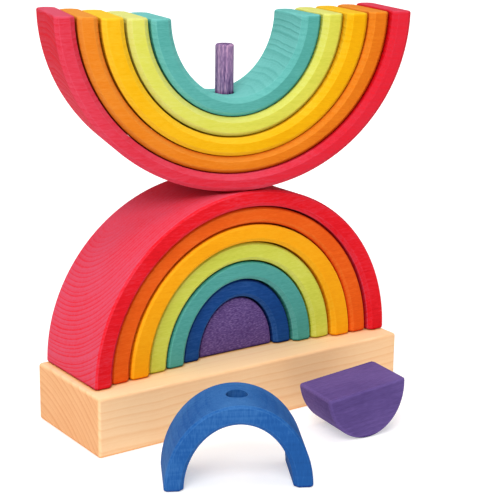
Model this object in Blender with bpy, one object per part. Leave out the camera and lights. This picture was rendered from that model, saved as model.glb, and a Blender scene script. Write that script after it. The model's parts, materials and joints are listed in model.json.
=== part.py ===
"""Rainbow stacking tower: a softwood block, a dowel and two sets of sawn wooden arches.

Metres, +Z up. The origin is on the dowel's axis at the foot of the block, X runs along the block
and -Y is its front. The lower rainbow stands on the block. The upper rainbow is upside down on it,
crown on crown, and its two innermost pieces lie in front of the block.
"""
import math

import bmesh
import bpy
from mathutils import Vector

MM = 0.001

# Half-round core of a rainbow
CORE_HALF_WIDTH = 28.9 * MM
CORE_HEIGHT = 36.7 * MM
CORE_DEPTH = 33.5 * MM

# Arches from the inside out: thickness at the legs, thickness at the crown, depth
BLUE_LEG = 12.9 * MM
BLUE_CROWN = 11.7 * MM
BLUE_DEPTH = 40.5 * MM
TEAL_LEG = 13.3 * MM
TEAL_CROWN = 11.7 * MM
TEAL_DEPTH = 48.0 * MM
LIME_LEG = 13.5 * MM
LIME_CROWN = 12.1 * MM
LIME_DEPTH = 51.0 * MM
YELLOW_LEG = 13.9 * MM
YELLOW_CROWN = 11.3 * MM
YELLOW_DEPTH = 58.5 * MM
ORANGE_LEG = 12.9 * MM
ORANGE_CROWN = 10.5 * MM
ORANGE_DEPTH = 59.0 * MM
RED_LEG = 12.6 * MM
RED_CROWN = 10.8 * MM
RED_DEPTH = 66.0 * MM
SAW_KERF = 1.2 * MM           # gap that the saw leaves between two arches

# The two innermost pieces of the upper rainbow, which differ from the lower ones
UPPER_BLUE_LEG = 11.7 * MM
UPPER_BLUE_CROWN = 12.3 * MM
UPPER_BLUE_HEIGHT = 52.1 * MM
UPPER_BLUE_PLAY = 0.4 * MM    # left beside each of its legs in the upper teal arch
UPPER_CORE_HEIGHT = 33.4 * MM
UPPER_CORE_DEPTH = 36.9 * MM

EDGE_CHAMFER = 2.5 * MM       # along the front and back edges of an arch
END_EASE = 1.5 * MM           # round the end of each leg
CORE_EASE = 0.9 * MM          # along every edge of a core

# Dowel and the holes around it
DOWEL_DIAMETER = 12.0 * MM
DOWEL_EASE = 1.6 * MM         # rounding of its top edge
BORE_CLEARANCE = 1.0 * MM     # on the diameter, in arches and cores
SOCKET_CLEARANCE = 0.6 * MM   # on the diameter, in the block
SOCKET_DEPTH = 28.0 * MM
DOWEL_INTO_CAP = 19.0 * MM    # how far the dowel reaches into the upper core
CAP_END_CLEARANCE = 3.3 * MM  # left above the dowel in the upper core's hole

# Block, as ledges left around the red arch's feet
BASE_HEIGHT = 38.5 * MM
LEDGE_LEFT = 5.3 * MM
LEDGE_RIGHT = 0.5 * MM
LEDGE_FRONT = 13.0 * MM
LEDGE_BACK = 1.0 * MM
BASE_EDGE = 2.0 * MM

# Places
SEAT = 0.3 * MM               # gap between a piece and what it rests on
RED_TURN = math.radians(-17.0)
ORANGE_TURN = math.radians(1.0)   # in the upper red arch, and so on inwards
YELLOW_TURN = math.radians(1.0)
LIME_TURN = math.radians(2.0)
TEAL_TURN = math.radians(1.6)
LOOSE_BLUE_X = -64.7 * MM
LOOSE_BLUE_GAP = 26.2 * MM    # clear distance to the block's front face
LOOSE_BLUE_TURN = math.radians(-29.0)
LOOSE_PURPLE_GAP_X = 26.0 * MM  # clear distance beside the loose blue arch
LOOSE_PURPLE_GAP = 24.0 * MM  # clear distance to the block's front face
LOOSE_PURPLE_TURN = math.radians(-6.1)
LOOSE_PURPLE_ROLL = math.radians(-6.8)

# Facets
ARCH_STEPS = 30
ROUND_SIDES = 32
BASE_EDGE_STEPS = 2
SHARP_ANGLE = math.radians(28.0)
CUT_MARGIN = 5.0 * MM         # how far a cutter stands past what it cuts

WOOD_ROUGHNESS = 0.55
STAINS = {
    "purple": (88, 60, 140),
    "blue": (28, 78, 156),
    "teal": (78, 172, 162),
    "lime": (208, 222, 74),
    "yellow": (254, 192, 28),
    "orange": (245, 122, 30),
    "red": (226, 36, 50),
    "softwood": (246, 208, 150),
    "rod": (112, 82, 130),
}


class Ring:
    """One arch: half-ellipses of half-width and height inside and outside, and its depth."""

    def __init__(self, inner, leg, crown, depth):
        self.inner = inner
        self.outer = (inner[0] + leg, inner[1] + crown)
        self.depth = depth


def nested_rings():
    bands = {
        "blue": (BLUE_LEG, BLUE_CROWN, BLUE_DEPTH),
        "teal": (TEAL_LEG, TEAL_CROWN, TEAL_DEPTH),
        "lime": (LIME_LEG, LIME_CROWN, LIME_DEPTH),
        "yellow": (YELLOW_LEG, YELLOW_CROWN, YELLOW_DEPTH),
        "orange": (ORANGE_LEG, ORANGE_CROWN, ORANGE_DEPTH),
        "red": (RED_LEG, RED_CROWN, RED_DEPTH),
    }
    rings = {}
    inside = (CORE_HALF_WIDTH, CORE_HEIGHT)
    for colour, (leg, crown, depth) in bands.items():
        inner = (inside[0] + SAW_KERF, inside[1] + SAW_KERF)
        rings[colour] = Ring(inner, leg, crown, depth)
        inside = rings[colour].outer
    return rings


def upper_rings(rings):
    """Arches of the upper rainbow from the outside in: as the lower ones, but for the blue one."""
    half_width = rings["teal"].inner[0] - UPPER_BLUE_PLAY
    inner = (half_width - UPPER_BLUE_LEG, UPPER_BLUE_HEIGHT - UPPER_BLUE_CROWN)
    light_blue = Ring(inner, UPPER_BLUE_LEG, UPPER_BLUE_CROWN, BLUE_DEPTH)
    upper = {colour: rings[colour] for colour in reversed(rings)}
    upper["blue"] = light_blue
    return upper


RINGS = nested_rings()
UPPER_RINGS = upper_rings(RINGS)
BORE_RADIUS = (DOWEL_DIAMETER + BORE_CLEARANCE) / 2


def clear_scene():
    for old in list(bpy.data.objects):
        bpy.data.objects.remove(old, do_unlink=True)


def linear(channel):
    value = channel / 255
    if value <= 0.04045:
        return value / 12.92
    return ((value + 0.055) / 1.055) ** 2.4


def stained(name):
    material = bpy.data.materials.new(name)
    material.use_nodes = True
    shader = material.node_tree.nodes["Principled BSDF"]
    red, green, blue = (linear(channel) for channel in STAINS[name])
    shader.inputs["Base Color"].default_value = (red, green, blue, 1.0)
    shader.inputs["Roughness"].default_value = WOOD_ROUGHNESS
    shader.inputs["Metallic"].default_value = 0.0
    material.diffuse_color = (red, green, blue, 1.0)
    return material


def add_object(name, mesh, material=None):
    piece = bpy.data.objects.new(name, mesh)
    bpy.context.scene.collection.objects.link(piece)
    if material is not None:
        mesh.materials.append(material)
    return piece


def loft(name, sections):
    """Closed mesh through a row of closed sections that have the same number of points."""
    shape = bmesh.new()
    loops = [[shape.verts.new(point) for point in section] for section in sections]
    count = len(loops[0])
    for near, far in zip(loops, loops[1:]):
        for i in range(count):
            j = (i + 1) % count
            shape.faces.new((near[i], near[j], far[j], far[i]))
    shape.faces.new(loops[0])
    shape.faces.new(loops[-1])
    bmesh.ops.recalc_face_normals(shape, faces=shape.faces)
    mesh = bpy.data.meshes.new(name)
    shape.to_mesh(mesh)
    shape.free()
    mesh.shade_smooth()
    mesh.set_sharp_from_angle(angle=SHARP_ANGLE)
    return mesh


def circle(radius, z):
    turns = (2 * math.pi * i / ROUND_SIDES for i in range(ROUND_SIDES))
    return [Vector((radius * math.cos(t), radius * math.sin(t), z)) for t in turns]


def drill(piece, radius, low, high):
    """Cut a round hole along the piece's own Z axis, from low to high."""
    name = piece.name + "_drill"
    cutter = add_object(name, loft(name, [circle(radius, low), circle(radius, high)]))
    cutter.parent = piece
    cutter.hide_render = True
    cutter.display_type = "WIRE"
    hole = piece.modifiers.new("hole", "BOOLEAN")
    hole.operation = "DIFFERENCE"
    hole.solver = "EXACT"
    hole.object = cutter


def band_section(inner, outer, depth, inset):
    """Eight-sided section of an arch between an inner and an outer point of the X-Z plane."""
    across = (outer - inner).normalized()
    low = inner + across * inset
    high = outer - across * inset
    half = depth / 2 - inset
    bevel = across * EDGE_CHAMFER
    corners = (
        (high, EDGE_CHAMFER - half), (high - bevel, -half),
        (low + bevel, -half), (low, EDGE_CHAMFER - half),
        (low, half - EDGE_CHAMFER), (low + bevel, half),
        (high - bevel, half), (high, half - EDGE_CHAMFER),
    )
    return [Vector((point.x, y, point.y)) for point, y in corners]


def on_ellipse(axes, turn):
    return Vector((axes[0] * math.cos(turn), axes[1] * math.sin(turn)))


def at_height(axes, height, side):
    turn = math.asin(height / axes[1])
    return on_ellipse(axes, turn if side > 0 else math.pi - turn)


def arch_sections(ring):
    """Sections from the right foot over the crown to the left foot."""
    def foot(side):
        end = band_section(at_height(ring.inner, 0.0, side), at_height(ring.outer, 0.0, side),
                           ring.depth, END_EASE)
        full = band_section(at_height(ring.inner, END_EASE, side),
                            at_height(ring.outer, END_EASE, side), ring.depth, 0.0)
        return [end, full]

    span = []
    for step in range(1, ARCH_STEPS):
        turn = math.pi * step / ARCH_STEPS
        span.append(band_section(on_ellipse(ring.inner, turn), on_ellipse(ring.outer, turn),
                                 ring.depth, 0.0))
    return foot(1) + span + foot(-1)[::-1]


def make_arch(name, ring, material):
    """Arch on its feet at Z = 0, with the dowel's bore through its crown."""
    arch = add_object(name, loft(name, arch_sections(ring)), material)
    drill(arch, BORE_RADIUS, ring.inner[1] - CUT_MARGIN, ring.outer[1] + CUT_MARGIN)
    return arch


def core_outline(height, inset):
    """Half-ellipse in the X-Z plane with eased lower corners, drawn in by inset on every side."""
    axes = (CORE_HALF_WIDTH, height)
    points = [Vector((CORE_HALF_WIDTH - CORE_EASE, 0.0))]
    points.append(at_height(axes, CORE_EASE, 1))
    for step in range(1, ARCH_STEPS):
        points.append(on_ellipse(axes, math.pi * step / ARCH_STEPS))
    points.append(at_height(axes, CORE_EASE, -1))
    points.append(Vector((CORE_EASE - CORE_HALF_WIDTH, 0.0)))
    narrow = 1 - inset / CORE_HALF_WIDTH
    lower = 1 - 2 * inset / height
    return [Vector((point.x * narrow, inset + point.y * lower)) for point in points]


def make_core(name, material, height, depth, origin_height, hole_low):
    """Half-round core. Its origin lies origin_height over its flat side, its hole opens upwards."""
    half = depth / 2
    rows = ((-half, CORE_EASE), (CORE_EASE - half, 0.0), (half - CORE_EASE, 0.0), (half, CORE_EASE))
    sections = []
    for y, inset in rows:
        sections.append([Vector((p.x, y, p.y - origin_height)) for p in core_outline(height, inset)])
    core = add_object(name, loft(name, sections), material)
    drill(core, BORE_RADIUS, hole_low - origin_height, height + CUT_MARGIN - origin_height)
    return core


def make_base(material):
    """Planed block with rounded edges and a blind socket for the dowel."""
    red = RINGS["red"]
    low = Vector((-red.outer[0] - LEDGE_LEFT, -red.depth / 2 - LEDGE_FRONT, 0.0))
    high = Vector((red.outer[0] + LEDGE_RIGHT, red.depth / 2 + LEDGE_BACK, BASE_HEIGHT))

    def rectangle(z):
        return [Vector((low.x, low.y, z)), Vector((high.x, low.y, z)),
                Vector((high.x, high.y, z)), Vector((low.x, high.y, z))]

    mesh = loft("base_block", [rectangle(low.z), rectangle(high.z)])
    base = add_object("base_block", mesh, material)
    edges = base.modifiers.new("edges", "BEVEL")
    edges.width = BASE_EDGE
    edges.segments = BASE_EDGE_STEPS
    drill(base, (DOWEL_DIAMETER + SOCKET_CLEARANCE) / 2, BASE_HEIGHT - SOCKET_DEPTH,
          BASE_HEIGHT + CUT_MARGIN)
    return base


def make_dowel(material, low, high):
    """Rod from low to high with a rounded top edge and a small lead-in at its foot."""
    radius = DOWEL_DIAMETER / 2
    middle = high - DOWEL_EASE
    sections = [circle(radius - END_EASE, 0.0), circle(radius, END_EASE)]
    for turn in (0.0, math.pi / 6, math.pi / 3, math.pi / 2):
        inset = DOWEL_EASE * (1 - math.cos(turn))
        sections.append(circle(radius - inset, middle - low + DOWEL_EASE * math.sin(turn)))
    dowel = add_object("dowel", loft("dowel", sections), material)
    dowel.location = (0.0, 0.0, low)
    return dowel


def add_empty(name, place, turn):
    empty = bpy.data.objects.new(name, None)
    bpy.context.scene.collection.objects.link(empty)
    empty.location = place
    empty.rotation_euler = (0.0, 0.0, turn)
    return empty


def reach(half_width, half_depth, turn):
    """Half-extents along X and Y of a rectangle turned about Z."""
    cosine = abs(math.cos(turn))
    sine = abs(math.sin(turn))
    return (half_width * cosine + half_depth * sine, half_width * sine + half_depth * cosine)


def ride_up(ring, around, turn):
    """How much higher a ring lies in the next larger one when it is turned in it about Z."""
    shift = (ring.depth / 2 - EDGE_CHAMFER) * math.sin(abs(turn))
    rise = 0.0
    for step in range(ARCH_STEPS + 1):
        point = on_ellipse(ring.outer, math.pi / 2 * step / ARCH_STEPS)
        share = min((point.x + shift) / around.inner[0], 1.0)
        bed = around.inner[1] * (1 - math.sqrt(1 - share ** 2))
        rise = max(rise, bed - (ring.outer[1] - point.y))
    return rise


def build():
    clear_scene()
    finish = {name: stained(name) for name in STAINS}
    floor_of_stack = BASE_HEIGHT + SEAT
    make_base(finish["softwood"])

    # Lower rainbow, every piece on the block
    core = make_core("lower_purple", finish["purple"], CORE_HEIGHT, CORE_DEPTH, 0.0, -CUT_MARGIN)
    core.location = (0.0, 0.0, floor_of_stack)
    for colour, ring in RINGS.items():
        arch = make_arch("lower_" + colour, ring, finish[colour])
        arch.location = (0.0, 0.0, floor_of_stack)

    # Upper rainbow, upside down, each arch lying in the next larger one and turned a little in it
    turns = {"orange": ORANGE_TURN, "yellow": YELLOW_TURN, "lime": LIME_TURN, "teal": TEAL_TURN}
    crown = floor_of_stack + RINGS["red"].outer[1] + SEAT
    turntable = add_empty("upper_turn", (0.0, 0.0, crown), RED_TURN)
    lying = crown
    turn = 0.0
    around = None
    for colour, ring in UPPER_RINGS.items():
        if colour in turns:
            turn += turns[colour]
            lying += ride_up(ring, around, turns[colour])
        if colour != "blue":
            arch = make_arch("upper_" + colour, ring, finish[colour])
            arch.parent = turntable
            arch.location = (0.0, 0.0, lying + ring.outer[1] - crown)
            arch.rotation_euler = (0.0, math.pi, turn)
        lying += ring.outer[1] - ring.inner[1] + SEAT
        around = ring
    make_dowel(finish["rod"], BASE_HEIGHT - SOCKET_DEPTH + SEAT, lying + DOWEL_INTO_CAP)

    # Upper blue arch, taken off and standing in front of the block
    front = -RINGS["red"].depth / 2 - LEDGE_FRONT
    ring = UPPER_RINGS["blue"]
    blue_reach = reach(ring.outer[0], ring.depth / 2, LOOSE_BLUE_TURN)
    arch = make_arch("upper_blue", ring, finish["blue"])
    arch.location = (LOOSE_BLUE_X, front - LOOSE_BLUE_GAP - blue_reach[1], 0.0)
    arch.rotation_euler = (0.0, 0.0, LOOSE_BLUE_TURN)

    # Upper core, taken off and lying on its round side, which rocks about its centre of curvature
    rock_radius = CORE_HALF_WIDTH ** 2 / UPPER_CORE_HEIGHT
    hole_depth = DOWEL_INTO_CAP + CAP_END_CLEARANCE
    cap = make_core("upper_purple", finish["purple"], UPPER_CORE_HEIGHT, UPPER_CORE_DEPTH,
                    UPPER_CORE_HEIGHT - rock_radius, UPPER_CORE_HEIGHT - hole_depth)
    cap_reach = reach(CORE_HALF_WIDTH, UPPER_CORE_DEPTH / 2, LOOSE_PURPLE_TURN)
    cap.location = (LOOSE_BLUE_X + blue_reach[0] + LOOSE_PURPLE_GAP_X + cap_reach[0],
                    front - LOOSE_PURPLE_GAP - cap_reach[1], rock_radius)
    cap.rotation_euler = (0.0, math.pi + LOOSE_PURPLE_ROLL, LOOSE_PURPLE_TURN)


build()
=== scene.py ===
"""Looks of the rainbow stacking tower: fine wooden pieces with stained grain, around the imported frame.

Metres, +Z up, in the frame's own axes: X along the block, -Y its front. Every piece replaces the CAD
node of the same name and rides on that node's body.
"""
import json
import math

import bmesh
import bpy
from mathutils import Matrix, Vector

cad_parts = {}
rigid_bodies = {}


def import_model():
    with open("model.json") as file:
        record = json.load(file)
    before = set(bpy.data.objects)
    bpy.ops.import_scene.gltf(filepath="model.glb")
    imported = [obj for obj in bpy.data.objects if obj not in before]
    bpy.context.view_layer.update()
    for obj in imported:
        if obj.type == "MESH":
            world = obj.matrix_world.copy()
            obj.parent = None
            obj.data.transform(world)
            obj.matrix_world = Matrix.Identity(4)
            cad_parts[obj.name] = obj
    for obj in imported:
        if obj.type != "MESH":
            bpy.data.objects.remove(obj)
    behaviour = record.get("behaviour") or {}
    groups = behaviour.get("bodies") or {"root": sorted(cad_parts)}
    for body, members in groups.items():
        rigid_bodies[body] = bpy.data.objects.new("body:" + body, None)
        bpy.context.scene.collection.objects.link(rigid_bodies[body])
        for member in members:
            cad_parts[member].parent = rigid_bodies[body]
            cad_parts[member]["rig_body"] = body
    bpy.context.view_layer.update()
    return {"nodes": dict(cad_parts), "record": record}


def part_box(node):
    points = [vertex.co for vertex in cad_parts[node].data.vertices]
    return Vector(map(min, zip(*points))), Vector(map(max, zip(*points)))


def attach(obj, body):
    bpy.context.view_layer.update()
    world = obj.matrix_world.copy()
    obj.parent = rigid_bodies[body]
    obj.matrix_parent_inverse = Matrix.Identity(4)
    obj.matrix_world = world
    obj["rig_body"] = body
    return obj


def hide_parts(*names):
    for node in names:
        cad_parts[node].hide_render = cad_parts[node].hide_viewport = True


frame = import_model()

MM = 0.001

# Edges and holes of the wooden pieces
FINE_CHAMFERS = (2.4 * MM, 1.3 * MM)     # flats along the inner and the outer edges of an arch
BROAD_CHAMFERS = (3.2 * MM, 2.6 * MM)    # the same on the arches of the turned-over set
END_ROUND = 1.5 * MM         # round the end of each leg
CORE_ROUND = 1.1 * MM        # along every edge of the lower half-round core
LOOSE_ROUND = 1.8 * MM       # the same on the loose core
BASE_ROUND = 2.0 * MM        # along every edge of the block
ROD_ROUND = 1.6 * MM         # round the rod's top edge
FOOT_ROUND = 1.5 * MM        # round the rod's foot
CORNER_RADIUS = 0.5 * MM     # where a chamfer runs out into its neighbour faces
SUPPORT = 0.3 * MM           # distance of a supporting loop from a rounded corner
RIM_ROUND = 0.5 * MM         # eased rim of a drilled hole
BORE_PLAY = 0.5 * MM         # radial play between the rod and a bore
SOCKET_PLAY = 0.3 * MM       # radial play between the rod and its socket in the block
CAP_HOLE = 22.3 * MM         # depth of the blind hole in the upper core
CUT_MARGIN = 5.0 * MM        # how far a drill reaches past a surface
HOLE_ZONE = 8.0 * MM         # faces this close to a hole's axis get neither rubbed paleness nor painted highlight
TOUCH = 0.05 * MM            # two values closer than this are taken as one
WELD = 0.01 * MM             # points closer than this are joined after a cut

# Angles between neighbouring faces, in degrees
RIM_ANGLE = 45.0             # a drilled hole's edge is a rim above this
SHARP_ANGLE = 40.0           # shading breaks above this
WEAR_AND_HIGHLIGHT_FROM = 5.0              # an outer corner starts to be rubbed pale and highlighted here
WEAR_AND_HIGHLIGHT_FULL = 14.0             # and is fully rubbed pale and highlighted here

# Sizes that differ in the two loose pieces
UPPER_BLUE_LEG = 11.7 * MM
UPPER_BLUE_CROWN = 12.3 * MM
UPPER_BLUE_PLAY = 0.4 * MM   # left beside each of its legs in the upper teal arch
UPPER_CORE_HEIGHT = 33.4 * MM
UPPER_CORE_DEPTH = 36.9 * MM

# How the pieces that aren't square to the frame are turned about Z, in degrees
UPPER_TURNS = {"red": -17.0, "orange": -16.0, "yellow": -15.0, "lime": -13.0, "teal": -11.4}
LOOSE_BLUE_TURN = -29.0
LOOSE_PURPLE_TURN = -6.1
LOOSE_PURPLE_ROLL = -6.8     # about its own Y axis

# Mesh density
ARCH_STEPS = 96              # over half an ellipse
CORNER_STEPS = 3             # round a corner of an arch's section
END_STEPS = 4                # round the edge of an end
ROD_STEPS = 8                # round the rod's top edge
RIM_STEPS = 2                # round the rim of a hole
ROUND_SIDES = 72             # round the rod and the holes

# Camera, fitted to the photograph: place in millimetres, angles in degrees
CAMERA_PLACE = (-493.9, -725.9, 339.5)
CAMERA_YAW = 35.417
CAMERA_PITCH = 14.97
CAMERA_ROLL = 0.849
FOCAL_PIXELS = 1366.5
IMAGE_PIXELS = 500
SENSOR_WIDTH = 36.0
CLIP_START = 0.01            # in metres
CLIP_END = 50.0

# Studio, in metres and watts
AIM = (0.0, -0.03, 0.14)     # what the lamps point at
LAMPS = {                    # place, width and power
    "key": ((-1.65, -1.6, 2.6), 1.8, 72.0),
    "top": ((0.3, -0.24, 4.5), 3.0, 81.0),
}
SKY_LEFT = 0.62              # strength of the room's light
SKY_RIGHT = 0.22
FLOOR_HALF = 40.0
FLOOR_GREY = 0.65
FLOOR_ROUGH = 0.9
GLOW_NEAR = (0.2, 0.5)       # distance from the middle, and the floor's glow there
GLOW_FAR = (1.2, 0.8)

COLOURS = ("blue", "teal", "lime", "yellow", "orange", "red")

# Pale, main and deep tint of each node's finish, as sRGB. The upper and loose pieces have paler copies
# of the lower set's stains, partly painted light, the loose blue most; the lower set's deeper copies are
# partly painted shade under the upper set. The pale tint on the sides carries part of the painted sheen.
TINTS = {
    "base_block": ((248, 212, 166), (239, 189, 140), (212, 142, 90)),
    "dowel": ((206, 160, 192), (136, 106, 146), (80, 56, 102)),
    "lower_purple": ((136, 112, 164), (92, 69, 128), (62, 42, 94)),
    "lower_blue": ((60, 104, 168), (18, 65, 130), (8, 36, 88)),
    "lower_teal": ((108, 184, 178), (74, 152, 144), (46, 118, 112)),
    "lower_lime": ((222, 224, 126), (200, 204, 76), (164, 172, 44)),
    "lower_yellow": ((246, 188, 44), (240, 160, 12), (222, 130, 4)),
    "lower_orange": ((236, 132, 52), (226, 90, 18), (194, 60, 8)),
    "lower_red": ((207, 80, 104), (220, 20, 32), (160, 4, 18)),
    "upper_red": ((208, 80, 102), (202, 40, 56), (215, 9, 25)),
    "upper_orange": ((222, 142, 56), (213, 117, 24), (190, 84, 10)),
    "upper_yellow": ((232, 188, 48), (223, 164, 9), (208, 134, 2)),
    "upper_lime": ((212, 212, 124), (202, 200, 78), (172, 176, 46)),
    "upper_teal": ((112, 186, 180), (78, 155, 147), (52, 124, 117)),
    "upper_blue": ((76, 132, 190), (30, 84, 150), (14, 56, 112)),
    "upper_purple": ((116, 94, 156), (88, 69, 127), (64, 48, 98)),
}


def linear(tint):
    """sRGB from 0 to 255 as a linear RGBA colour."""
    channels = []
    for channel in tint:
        value = channel / 255
        channels.append(value / 12.92 if value <= 0.04045 else ((value + 0.055) / 1.055) ** 2.4)
    return (*channels, 1.0)


class Graph:
    """Short calls that add shader nodes to one material."""

    def __init__(self, name):
        self.material = bpy.data.materials.new(name)
        self.material.use_nodes = True
        self.tree = self.material.node_tree
        self.shader = self.tree.nodes["Principled BSDF"]

    def set(self, socket, value):
        if isinstance(value, bpy.types.NodeSocket):
            self.tree.links.new(value, socket)
        else:
            socket.default_value = value

    def node(self, kind, inputs, **settings):
        made = self.tree.nodes.new(kind)
        for key, value in settings.items():
            setattr(made, key, value)
        for key, value in inputs.items():
            self.set(made.inputs[key], value)
        return made

    def math(self, operation, first, second=0.0, clamp=False):
        return self.node("ShaderNodeMath", {0: first, 1: second},
                         operation=operation, use_clamp=clamp).outputs[0]

    def vector(self, operation, first, second):
        made = self.node("ShaderNodeVectorMath", {0: first, 1: second}, operation=operation)
        return made.outputs["Value" if operation == "DISTANCE" else "Vector"]

    def noise(self, vector, scale, detail, output="Fac"):
        return self.node("ShaderNodeTexNoise",
                         {"Vector": vector, "Scale": scale, "Detail": detail}).outputs[output]

    def centred(self, value, share):
        """A value from 0 to 1 as a swing around 0."""
        return self.math("MULTIPLY", self.math("SUBTRACT", value, 0.5), share)

    def between(self, share, low, high):
        made = self.node("ShaderNodeMapRange", {"Value": share, "To Min": low, "To Max": high})
        return made.outputs["Result"]

    def ramp(self, share, stops):
        made = self.node("ShaderNodeValToRGB", {"Fac": share})
        ramp = made.color_ramp
        while len(ramp.elements) < len(stops):
            ramp.elements.new(1.0)
        for element, (position, colour) in zip(ramp.elements, stops):
            element.position = position
            element.color = colour
        return made.outputs["Color"]


def grey(value):
    return (value, value, value, 1.0)


# Depth of tone over one growth ring: soft earlywood, a faint false ring, a thin dark latewood line
RING_PROFILE = ((0.0, grey(0.0)), (0.34, grey(0.1)), (0.44, grey(0.4)), (0.54, grey(0.12)),
                (0.86, grey(1.0)), (1.0, grey(0.0)))
RING_MEAN = 0.32             # mean of that profile, roughly
UNEVEN = 1.0                 # how far the lines stray, as a share of their spacing
UNEVEN_WAVES = 160.0         # how often they stray, per metre of radius
PITH_RADIUS = 30.0 * MM      # the lines are softer inside this radius
PITH_SHARE = 0.2             # what is left of them at the pith

# Other marks of the wood
MAIN_TONE = 0.5              # depth of tone of the main tint, between 0 for pale and 1 for deep
FIBRES = (12.0, 420.0, 420.0)    # fibres per metre along X, Y and Z, roughly
BLOTCHES = 26.0              # blotches of stain per metre
END_POWER = 1.2              # how fast end grain fades as a face turns away from X
GAP_SHADE_REACH = 2.5 * MM           # painted shade: how far the darkening reaches into narrow gaps between pieces
GAP_SHADE_SAMPLES = 8
RELIEF_DEPTH = 0.4 * MM      # height of the highest relief
RELIEF_LONG = 0.1            # share of the rings in it on long grain, which is 1 on end grain
RELIEF_FIBRE = 0.6           # share of the fibres
RELIEF_PORE = 0.8            # share of the pores


# Logs that the pieces are cut from: where the pith is in Y and Z, and how far apart the rings are
BASE_LOG = ((53.0 * MM, -86.0 * MM), 4.8 * MM)
ROD_LOG = ((20.0 * MM, 5.0 * MM), 1.6 * MM)
LOWER_LOG = ((22.0 * MM, 95.0 * MM), 2.9 * MM)
UPPER_LOG = ((4.0 * MM, 190.0 * MM), 4.2 * MM)


class Grain:
    """The log that a finish is cut from, and how strongly each of its marks shows.

    The log's axis runs along X through the point pith of the Y-Z plane, and its rings are spacing
    apart. A tone above 0 is deeper than the main tint.
    """

    def __init__(self, pith, spacing, **marks):
        self.pith = pith
        self.spacing = spacing
        self.wander = 2.5 * MM       # how far the rings wave
        self.waves = 22.0            # waves per metre, roughly
        self.ring_long = 0.05        # contrast of the rings on long grain
        self.ring_end = 0.30         # contrast of the rings on end grain
        self.side_tone_and_sheen = -0.32       # tone of the faces that don't look to the front or back, paler below 0: partly the sawn faces' own tone, partly painted sheen and light
        self.edge_fade = 2.0         # how fast that tone fades over a rounded edge, 1 being even
        self.end_tone = 0.0          # further tone of end grain
        self.slope = 0.0             # painted light: change of tone per metre along X, which makes one side of a piece paler than the other
        self.streak = 0.20           # contrast of the fibres along X
        self.blotch = 0.35           # contrast of the uneven stain
        self.fleck = 0.25            # contrast of the pores
        self.pores = (260.0, 1500.0, 1500.0)   # pores per metre along X, Y and Z, roughly
        self.wear_and_highlight = 0.10             # paleness of rounded edges: partly rubbed wear, partly a painted highlight
        self.gap_shade_power = 2.1           # painted shade: power of the colour deep in a narrow gap, which darkens and deepens it
        self.relief = 0.25           # strength of the relief
        self.rough = (0.78, 0.9)     # roughness of pale and of deep wood
        self.specular = 0.1
        for mark, value in marks.items():
            setattr(self, mark, value)


def growth_rings(graph, coord, grain):
    """Rings about the log's axis, from 0 in the earlywood to 1 in the dark line, soft near the pith."""
    swing = graph.noise(coord, grain.waves, 2.0, "Color")
    swing = graph.vector("SUBTRACT", swing, (0.5, 0.5, 0.5))
    swing = graph.vector("MULTIPLY", swing, (grain.wander,) * 3)
    bent = graph.vector("MULTIPLY", graph.vector("ADD", coord, swing), (0.0, 1.0, 1.0))
    radius = graph.vector("DISTANCE", bent, (0.0, *grain.pith))
    uneven = graph.node("ShaderNodeTexNoise", {"W": radius, "Scale": UNEVEN_WAVES, "Detail": 1.0},
                        noise_dimensions="1D").outputs["Fac"]
    radius = graph.math("ADD", radius, graph.centred(uneven, UNEVEN * grain.spacing))
    phase = graph.math("FRACT", graph.math("DIVIDE", radius, grain.spacing))
    firm = graph.node("ShaderNodeMapRange", {"Value": radius, "From Max": PITH_RADIUS,
                                             "To Min": PITH_SHARE})
    return graph.math("MULTIPLY", graph.ramp(phase, RING_PROFILE), firm.outputs["Result"])


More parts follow.
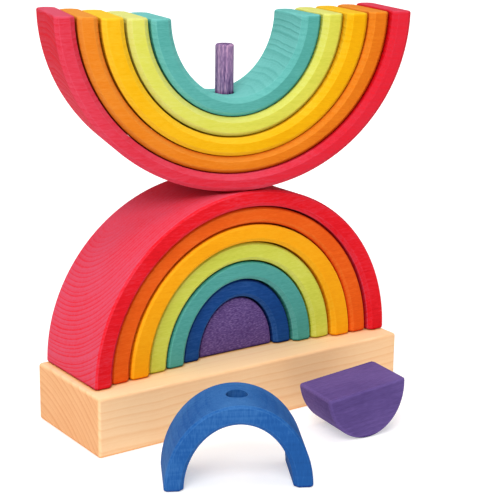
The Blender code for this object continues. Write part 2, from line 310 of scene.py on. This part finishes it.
def wood(name, tints, grain):
    """Wood with growth rings along X that show most where the cut shows end grain."""
    graph = Graph(name)
    source = graph.node("ShaderNodeTexCoord", {})
    coord = source.outputs["Object"]
    facing = graph.node("ShaderNodeSeparateXYZ", {"Vector": source.outputs["Normal"]}).outputs
    front = graph.math("MULTIPLY", facing["Y"], facing["Y"])
    side = graph.math("POWER", graph.math("SUBTRACT", 1.0, front), grain.edge_fade)
    end = graph.math("POWER", graph.math("ABSOLUTE", facing["X"]), END_POWER)
    end = graph.math("MULTIPLY", end, side)

    ring = growth_rings(graph, coord, grain)
    streak = graph.noise(graph.vector("MULTIPLY", coord, FIBRES), 1.0, 4.0)
    fleck = graph.noise(graph.vector("MULTIPLY", coord, grain.pores), 1.0, 3.0)
    blotch = graph.noise(coord, BLOTCHES, 3.0)

    depth = graph.math("SUBTRACT", ring, RING_MEAN)
    depth = graph.math("MULTIPLY", depth, graph.between(end, grain.ring_long, grain.ring_end))
    # Faces turned away from the front and back take the side tone, partly painted sheen and light
    depth = graph.math("ADD", depth, graph.between(side, MAIN_TONE, MAIN_TONE + grain.side_tone_and_sheen))
    depth = graph.math("ADD", depth, graph.between(end, 0.0, grain.end_tone))
    # Painted light: one side of a piece is made paler than the other
    along = graph.node("ShaderNodeSeparateXYZ", {"Vector": coord}).outputs["X"]
    depth = graph.math("ADD", depth, graph.math("MULTIPLY", along, grain.slope))
    for mark, share in ((streak, grain.streak), (fleck, grain.fleck), (blotch, grain.blotch)):
        depth = graph.math("ADD", depth, graph.centred(mark, share))
    # Outer corners paler: partly rubbed wear, partly a painted highlight
    rubbed_and_lit = graph.node("ShaderNodeAttribute", {}, attribute_name="wear_and_highlight").outputs["Fac"]
    rubbed_and_lit = graph.math("MULTIPLY", rubbed_and_lit, graph.between(streak, 0.0, 2 * grain.wear_and_highlight))
    depth = graph.math("SUBTRACT", depth, rubbed_and_lit, clamp=True)
    pale, main, deep = (linear(tint) for tint in tints)
    colour = graph.ramp(depth, ((0.0, pale), (MAIN_TONE, main), (1.0, deep)))

    # Painted shade: where ambient occlusion finds a neighbour close by, deep in a narrow gap, the colour
    # is raised to a higher power, which darkens it
    gap_openness = graph.node("ShaderNodeAmbientOcclusion", {"Distance": GAP_SHADE_REACH}, samples=GAP_SHADE_SAMPLES)
    gap_shade_gamma = graph.between(gap_openness.outputs["AO"], grain.gap_shade_power, 1.0)
    colour = graph.node("ShaderNodeGamma", {"Color": colour, "Gamma": gap_shade_gamma}).outputs["Color"]
    graph.set(graph.shader.inputs["Base Color"], colour)
    graph.set(graph.shader.inputs["Roughness"], graph.between(depth, *grain.rough))
    graph.shader.inputs["Specular IOR Level"].default_value = grain.specular

    relief = graph.math("MULTIPLY", ring, graph.between(end, RELIEF_LONG, 1.0))
    relief = graph.math("ADD", relief, graph.centred(streak, RELIEF_FIBRE))
    relief = graph.math("ADD", relief, graph.centred(fleck, RELIEF_PORE))
    bump = graph.node("ShaderNodeBump", {"Height": relief, "Strength": grain.relief,
                                         "Distance": RELIEF_DEPTH})
    graph.set(graph.shader.inputs["Normal"], bump.outputs["Normal"])
    return graph.material


def fillet(corners, radius):
    """Closed outline with rounded corners and a supporting point near each end of a straight side."""
    outline = []
    count = len(corners)
    for i, corner in enumerate(corners):
        back = (corners[i - 1] - corner).normalized()
        ahead = (corners[(i + 1) % count] - corner).normalized()
        half = back.angle(ahead) / 2
        centre = corner + (back + ahead).normalized() * (radius / math.sin(half))
        reach = radius / math.tan(half)
        start = corner + back * reach - centre
        finish = corner + ahead * reach - centre
        outline.append(corner + back * (reach + SUPPORT))
        for step in range(CORNER_STEPS + 1):
            outline.append(centre + start.lerp(finish, step / CORNER_STEPS).normalized() * radius)
        outline.append(corner + ahead * (reach + SUPPORT))
    return outline


def rounded_end(radius, steps):
    """Rows round the edge of an end, as distance from the end face and distance in from the side."""
    rows = []
    for step in range(steps, -1, -1):
        turn = math.pi / 2 * step / steps
        rows.append((radius * (1 - math.sin(turn)), radius * (1 - math.cos(turn))))
    return rows


def loft(sections):
    """Closed surface through a row of closed sections with the same number of points."""
    shape = bmesh.new()
    loops = [[shape.verts.new(point) for point in section] for section in sections]
    count = len(loops[0])
    for near, far in zip(loops, loops[1:]):
        for i in range(count):
            j = (i + 1) % count
            shape.faces.new((near[i], near[j], far[j], far[i]))
    shape.faces.new(loops[0])
    shape.faces.new(loops[-1])
    bmesh.ops.recalc_face_normals(shape, faces=shape.faces)
    return shape


def circle(radius, z, sides=ROUND_SIDES):
    turns = (2 * math.pi * i / sides for i in range(sides))
    return [Vector((radius * math.cos(t), radius * math.sin(t), z)) for t in turns]


def add_object(name, shape):
    mesh = bpy.data.meshes.new(name)
    shape.to_mesh(mesh)
    shape.free()
    piece = bpy.data.objects.new(name, mesh)
    bpy.context.scene.collection.objects.link(piece)
    return piece


def drill(piece, radius, low, high):
    """Cut a round hole along the piece's own Z axis and ease its rims."""
    cutter = add_object("drill", loft([circle(radius, low), circle(radius, high)]))
    cutter.matrix_world = piece.matrix_world
    hole = piece.modifiers.new("hole", "BOOLEAN")
    hole.operation = "DIFFERENCE"
    hole.solver = "EXACT"
    hole.object = cutter
    solid = piece.evaluated_get(bpy.context.evaluated_depsgraph_get())
    whole = piece.data
    piece.data = bpy.data.meshes.new_from_object(solid)
    piece.modifiers.clear()
    bpy.data.meshes.remove(whole)
    bpy.data.objects.remove(cutter)
    piece.data.name = piece.name

    shape = bmesh.new()
    shape.from_mesh(piece.data)
    bmesh.ops.remove_doubles(shape, verts=shape.verts, dist=WELD)
    rims = []
    for edge in shape.edges:
        on_wall = all(abs(v.co.xy.length - radius) < TOUCH for v in edge.verts)
        if on_wall and edge.is_manifold and edge.calc_face_angle() > math.radians(RIM_ANGLE):
            rims.append(edge)
    bmesh.ops.bevel(shape, geom=rims, offset=RIM_ROUND, segments=RIM_STEPS, profile=0.5,
                    affect="EDGES", clamp_overlap=True)
    shape.to_mesh(piece.data)
    shape.free()


def mark_wear_and_highlight(piece):
    """Store how worn and highlighted each point is: 1 on outer corners, 0 on flat and hollow faces and
    round a hole. The paleness it gives is partly wear, partly a painted highlight.
    """
    gentle = math.radians(WEAR_AND_HIGHLIGHT_FROM)
    full = math.radians(WEAR_AND_HIGHLIGHT_FULL)
    shape = bmesh.new()
    shape.from_mesh(piece.data)
    wear_and_highlight = []
    for vertex in shape.verts:
        turn = max(edge.calc_face_angle_signed(0.0) for edge in vertex.link_edges)
        share = min(max((turn - gentle) / (full - gentle), 0.0), 1.0)
        wear_and_highlight.append(share if vertex.co.xy.length > HOLE_ZONE else 0.0)
    shape.free()
    attribute = piece.data.attributes.new("wear_and_highlight", "FLOAT", "POINT")
    attribute.data.foreach_set("value", wear_and_highlight)


def finish_piece(piece, node):
    """Give a piece its finish and put it in the place of its CAD node."""
    mark_wear_and_highlight(piece)
    piece.data.shade_smooth()
    piece.data.set_sharp_from_angle(angle=math.radians(SHARP_ANGLE))
    piece.data.materials.clear()
    piece.data.materials.append(make_finish(node))
    evener = piece.modifiers.new("even_shading", "WEIGHTED_NORMAL")
    evener.keep_sharp = True
    body = frame["nodes"][node]["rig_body"]
    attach(piece, body)
    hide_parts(node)


def on_ellipse(axes, turn):
    return Vector((axes[0] * math.cos(turn), axes[1] * math.sin(turn)))


def at_height(axes, height, side):
    turn = math.asin(height / axes[1])
    return on_ellipse(axes, turn if side > 0 else math.pi - turn)


class Ring:
    """Inner and outer half-axes and depth of an arch."""

    def __init__(self, inner, outer, depth):
        self.inner = inner
        self.outer = outer
        self.depth = depth


def nested_ring(colour):
    """An arch as its lower node has it, which is square to the frame."""
    node = "lower_" + colour
    low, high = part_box(node)
    points = [v.co for v in frame["nodes"][node].data.vertices]
    crown = min(p.z for p in points if abs(p.x) < TOUCH and p.y < low.y / 2)
    leg = min(abs(p.x) for p in points if abs(p.z - low.z - END_ROUND) < TOUCH)
    return Ring((leg, crown - low.z), (high.x, high.z - low.z), high.y - low.y)


def loose_ring():
    """The loose blue arch: as deep as the lower one, and as wide as goes into the upper teal arch."""
    low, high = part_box("upper_blue")
    width = nested_ring("teal").inner[0] - UPPER_BLUE_PLAY
    height = high.z - low.z
    inner = (width - UPPER_BLUE_LEG, height - UPPER_BLUE_CROWN)
    return Ring(inner, (width, height), nested_ring("blue").depth)


def band_section(inner, outer, depth, chamfers, inset):
    """Section of an arch with rounded chamfers, between an inner and an outer point of the X-Z plane."""
    across = (outer - inner).normalized()
    thick = (outer - inner).length - inset
    half = depth / 2 - inset
    near = inset + chamfers[0]
    far = thick - chamfers[1]
    inner_edge = half - chamfers[0]
    outer_edge = half - chamfers[1]
    corners = [(thick, -outer_edge), (far, -half), (near, -half), (inset, -inner_edge),
               (inset, inner_edge), (near, half), (far, half), (thick, outer_edge)]
    outline = fillet([Vector(corner) for corner in corners], CORNER_RADIUS)
    points = []
    for t, y in outline:
        place = inner + across * t
        points.append(Vector((place.x, y, place.y)))
    return points


def arch_sections(ring, chamfers):
    """Sections from the right foot over the crown to the left foot."""
    def foot(side):
        rows = [(0.0, END_ROUND + SUPPORT)]
        rows += rounded_end(END_ROUND, END_STEPS)
        rows.append((END_ROUND + SUPPORT, 0.0))
        return [band_section(at_height(ring.inner, height, side), at_height(ring.outer, height, side),
                             ring.depth, chamfers, inset) for height, inset in rows]

    first = 1 + math.ceil(ARCH_STEPS * (END_ROUND + SUPPORT) / ring.inner[1] / math.pi)
    span = []
    for step in range(first, ARCH_STEPS - first + 1):
        turn = math.pi * step / ARCH_STEPS
        span.append(band_section(on_ellipse(ring.inner, turn), on_ellipse(ring.outer, turn),
                                 ring.depth, chamfers, 0.0))
    return foot(1) + span + foot(-1)[::-1]


def make_arch(node, ring, matrix, bore, chamfers):
    """Arch on its feet at its own Z = 0, with the rod's bore through its crown."""
    arch = add_object(node + "_arch", loft(arch_sections(ring, chamfers)))
    drill(arch, bore, ring.inner[1] - CUT_MARGIN, ring.outer[1] + CUT_MARGIN)
    arch.matrix_world = matrix
    finish_piece(arch, node)


def core_outline(half_width, height, edge, inset):
    """Half-ellipse with lower corners of radius edge, drawn in by inset on every side."""
    wide = half_width - inset
    tall = height - inset
    points = []
    for step in range(ARCH_STEPS + 1):
        point = on_ellipse((wide, tall), math.pi * step / ARCH_STEPS)
        if point.y > inset + edge:
            points.append(point)
    corner_x = wide - edge
    corner_z = inset + edge
    turns = [math.pi / 2 * step / END_STEPS for step in range(END_STEPS + 1)]
    right = [Vector((corner_x + edge * math.sin(t), corner_z - edge * math.cos(t))) for t in turns]
    left = [Vector((-p.x, p.y)) for p in reversed(right)]
    flat = corner_x - SUPPORT
    return [Vector((flat, inset))] + right + points + left + [Vector((-flat, inset))]


def make_core(node, size, edge, matrix, bore, hole_low):
    """Half-round core with its flat side at its own Z = 0 and its hole opening upwards."""
    half_width, depth, height = size
    half = depth / 2
    rows = [(half, edge + SUPPORT)]
    rows += [(half - along, inset) for along, inset in rounded_end(edge, END_STEPS)]
    rows.append((half - edge - SUPPORT, 0.0))
    rows += [(-y, inset) for y, inset in reversed(rows)]
    sections = []
    for y, inset in rows:
        outline = core_outline(half_width, height, edge, inset)
        sections.append([Vector((p.x, y, p.y)) for p in outline])
    core = add_object(node + "_core", loft(sections))
    drill(core, bore, hole_low, height + CUT_MARGIN)
    core.matrix_world = matrix
    finish_piece(core, node)


def make_base(rod_radius):
    """Planed block with rounded edges and a blind socket for the rod."""
    low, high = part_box("base_block")
    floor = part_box("dowel")[0].z
    size = high - low
    shape = bmesh.new()
    bmesh.ops.create_cube(shape, size=1.0)
    bmesh.ops.scale(shape, vec=size, verts=shape.verts)
    bmesh.ops.translate(shape, vec=(low + high) / 2, verts=shape.verts)
    bmesh.ops.bevel(shape, geom=shape.edges[:], offset=BASE_ROUND, segments=END_STEPS, profile=0.5,
                    affect="EDGES")
    base = add_object("base_block_wood", shape)
    drill(base, rod_radius + SOCKET_PLAY, floor - SOCKET_PLAY, high.z + CUT_MARGIN)
    finish_piece(base, "base_block")


def make_rod(rod_radius):
    """Round rod with a rounded top edge and an eased foot. Its own X, the grain's axis, points up."""
    low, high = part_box("dowel")
    rows = [(rod_radius - FOOT_ROUND, low.z), (rod_radius, low.z + FOOT_ROUND)]
    for along, inset in reversed(rounded_end(ROD_ROUND, ROD_STEPS)):
        rows.append((rod_radius - inset, high.z - along))
    rows.append((rod_radius - ROD_ROUND - SUPPORT, high.z))
    shape = loft([circle(radius, z) for radius, z in rows])
    upright = Matrix.Rotation(-math.pi / 2, 4, "Y")
    bmesh.ops.transform(shape, matrix=upright.inverted(), verts=shape.verts)
    rod = add_object("dowel_rod", shape)
    rod.matrix_world = upright
    finish_piece(rod, "dowel")


def make_finish(node):
    """The node's own finish: the arches of a set are sawn from one block of wood."""
    if node == "base_block":
        grain = Grain(*BASE_LOG, ring_long=0.27, ring_end=0.18, side_tone_and_sheen=-0.4, end_tone=0.8,
                      streak=0.3, fleck=0.2, blotch=0.3, wear_and_highlight=0.2)
    elif node == "dowel":
        grain = Grain(*ROD_LOG, ring_long=0.4, side_tone_and_sheen=0.0, end_tone=0.3, streak=1.6, fleck=1.2)
    elif node == "lower_purple":
        grain = Grain(*LOWER_LOG, fleck=1.6, pores=(500.0, 1600.0, 1600.0))
    elif node.startswith("lower"):
        fade = 2.0 if node == "lower_red" else 1.2
        grain = Grain(*LOWER_LOG, wander=3.2 * MM, ring_end=0.32, edge_fade=fade, fleck=0.4)
    elif node == "upper_blue":
        grain = Grain(*UPPER_LOG, ring_end=0.08, side_tone_and_sheen=-0.05, streak=0.2, blotch=0.6, fleck=0.35,
                      pores=(1100.0, 1100.0, 240.0), wear_and_highlight=0.12)
    elif node == "upper_purple":
        grain = Grain(*UPPER_LOG, ring_end=0.08, side_tone_and_sheen=-0.05, streak=0.4, blotch=0.6, fleck=0.5,
                      wear_and_highlight=0.16)
    else:
        # The upper red's flanks, which face along X, are made deeper: partly end grain, partly painted
        # shade
        red_flank_shade = 0.6 if node == "upper_red" else 0.0
        grain = Grain(*UPPER_LOG, wander=5.0 * MM, waves=32.0, side_tone_and_sheen=-0.4, edge_fade=1.0,
                      end_tone=red_flank_shade, slope=-1.5, fleck=0.4, gap_shade_power=1.6, relief=0.5, specular=0.05)
    return wood(node, TINTS[node], grain)


def placed(place, turn, roll=0.0):
    """Matrix of a piece that is rolled about its own Y axis and then turned about Z, in degrees."""
    turned = Matrix.Rotation(math.radians(turn), 4, "Z")
    return Matrix.Translation(place) @ turned @ Matrix.Rotation(math.radians(roll), 4, "Y")


def make_pieces():
    rod_low, rod_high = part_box("dowel")
    rod_radius = (rod_high.x - rod_low.x) / 2
    bore = rod_radius + BORE_PLAY
    make_base(rod_radius)
    make_rod(rod_radius)
    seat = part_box("lower_red")[0].z
    standing = Matrix.Translation((0.0, 0.0, seat))
    low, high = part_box("lower_purple")
    half_width = high.x
    size = (half_width, high.y - low.y, high.z - low.z)
    make_core("lower_purple", size, CORE_ROUND, standing, bore, -CUT_MARGIN)
    for colour in COLOURS:
        make_arch("lower_" + colour, nested_ring(colour), standing, bore, FINE_CHAMFERS)

    for colour, turn in UPPER_TURNS.items():
        node = "upper_" + colour
        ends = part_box(node)[1]
        matrix = placed((0.0, 0.0, ends.z), turn, 180.0)
        make_arch(node, nested_ring(colour), matrix, bore, BROAD_CHAMFERS)

    low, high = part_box("upper_blue")
    middle = (low + high) / 2
    matrix = placed((middle.x, middle.y, low.z), LOOSE_BLUE_TURN)
    make_arch("upper_blue", loose_ring(), matrix, bore, FINE_CHAMFERS)

    rocking = next(j for j in frame["record"]["behaviour"]["joints"] if j["child"] == "upper_purple")
    pivot = Vector(rocking["pos_m"])
    matrix = placed(pivot, LOOSE_PURPLE_TURN, 180.0 + LOOSE_PURPLE_ROLL)
    matrix = matrix @ Matrix.Translation((0.0, 0.0, pivot.z - UPPER_CORE_HEIGHT))
    size = (half_width, UPPER_CORE_DEPTH, UPPER_CORE_HEIGHT)
    make_core("upper_purple", size, LOOSE_ROUND, matrix, bore, UPPER_CORE_HEIGHT - CAP_HOLE)


def make_camera():
    yaw, pitch, roll = (math.radians(a) for a in (CAMERA_YAW, CAMERA_PITCH, CAMERA_ROLL))
    ahead = Vector((math.sin(yaw) * math.cos(pitch), math.cos(yaw) * math.cos(pitch), -math.sin(pitch)))
    level = Vector((math.cos(yaw), -math.sin(yaw), 0.0))
    upright = level.cross(ahead)
    right = level * math.cos(roll) + upright * math.sin(roll)
    up = upright * math.cos(roll) - level * math.sin(roll)
    turn = Matrix((right, up, -ahead)).transposed().to_4x4()
    data = bpy.data.cameras.new("camera")
    data.sensor_width = SENSOR_WIDTH
    data.lens = FOCAL_PIXELS * SENSOR_WIDTH / IMAGE_PIXELS
    data.clip_start = CLIP_START
    data.clip_end = CLIP_END
    camera = bpy.data.objects.new("camera", data)
    bpy.context.scene.collection.objects.link(camera)
    camera.matrix_world = Matrix.Translation(Vector(CAMERA_PLACE) * MM) @ turn
    bpy.context.scene.camera = camera


def add_softbox(name, place, target, size, power):
    data = bpy.data.lights.new(name, "AREA")
    data.shape = "DISK"
    data.size = size
    data.energy = power
    light = bpy.data.objects.new(name, data)
    bpy.context.scene.collection.objects.link(light)
    light.location = place
    light.rotation_euler = (Vector(target) - Vector(place)).to_track_quat("-Z", "Y").to_euler()


def make_floor():
    """White floor that glows a little far from the object, so that it stays white to the horizon."""
    shape = bmesh.new()
    bmesh.ops.create_grid(shape, x_segments=1, y_segments=1, size=FLOOR_HALF)
    floor = add_object("floor", shape)
    graph = Graph("floor_paper")
    coord = graph.node("ShaderNodeTexCoord", {}).outputs["Object"]
    away = graph.vector("DISTANCE", coord, (0.0, 0.0, 0.0))
    glow = graph.node("ShaderNodeMapRange", {"Value": away,
                                             "From Min": GLOW_NEAR[0], "To Min": GLOW_NEAR[1],
                                             "From Max": GLOW_FAR[0], "To Max": GLOW_FAR[1]})
    graph.shader.inputs["Base Color"].default_value = grey(FLOOR_GREY)
    graph.shader.inputs["Roughness"].default_value = FLOOR_ROUGH
    graph.shader.inputs["Specular IOR Level"].default_value = 0.0
    graph.shader.inputs["Emission Color"].default_value = grey(1.0)
    graph.set(graph.shader.inputs["Emission Strength"], glow.outputs["Result"])
    floor.data.materials.append(graph.material)


def make_light():
    """A white room, dimmer on the right, a soft key light from the upper left and a wide one above."""
    world = bpy.data.worlds.new("studio")
    world.use_nodes = True
    nodes = world.node_tree.nodes
    links = world.node_tree.links
    towards = nodes.new("ShaderNodeSeparateXYZ")
    links.new(nodes.new("ShaderNodeTexCoord").outputs["Generated"], towards.inputs["Vector"])
    strength = nodes.new("ShaderNodeMapRange")
    spread = {"From Min": -1.0, "From Max": 1.0, "To Min": SKY_LEFT, "To Max": SKY_RIGHT}
    for key, value in spread.items():
        strength.inputs[key].default_value = value
    links.new(towards.outputs["X"], strength.inputs["Value"])
    sky = nodes["Background"]
    sky.inputs["Color"].default_value = grey(1.0)
    links.new(strength.outputs["Result"], sky.inputs["Strength"])
    bpy.context.scene.world = world
    for name, (place, width, power) in LAMPS.items():
        add_softbox(name, place, AIM, width, power)
    bpy.context.scene.view_settings.view_transform = "Standard"


make_pieces()
make_camera()
make_floor()
make_light()
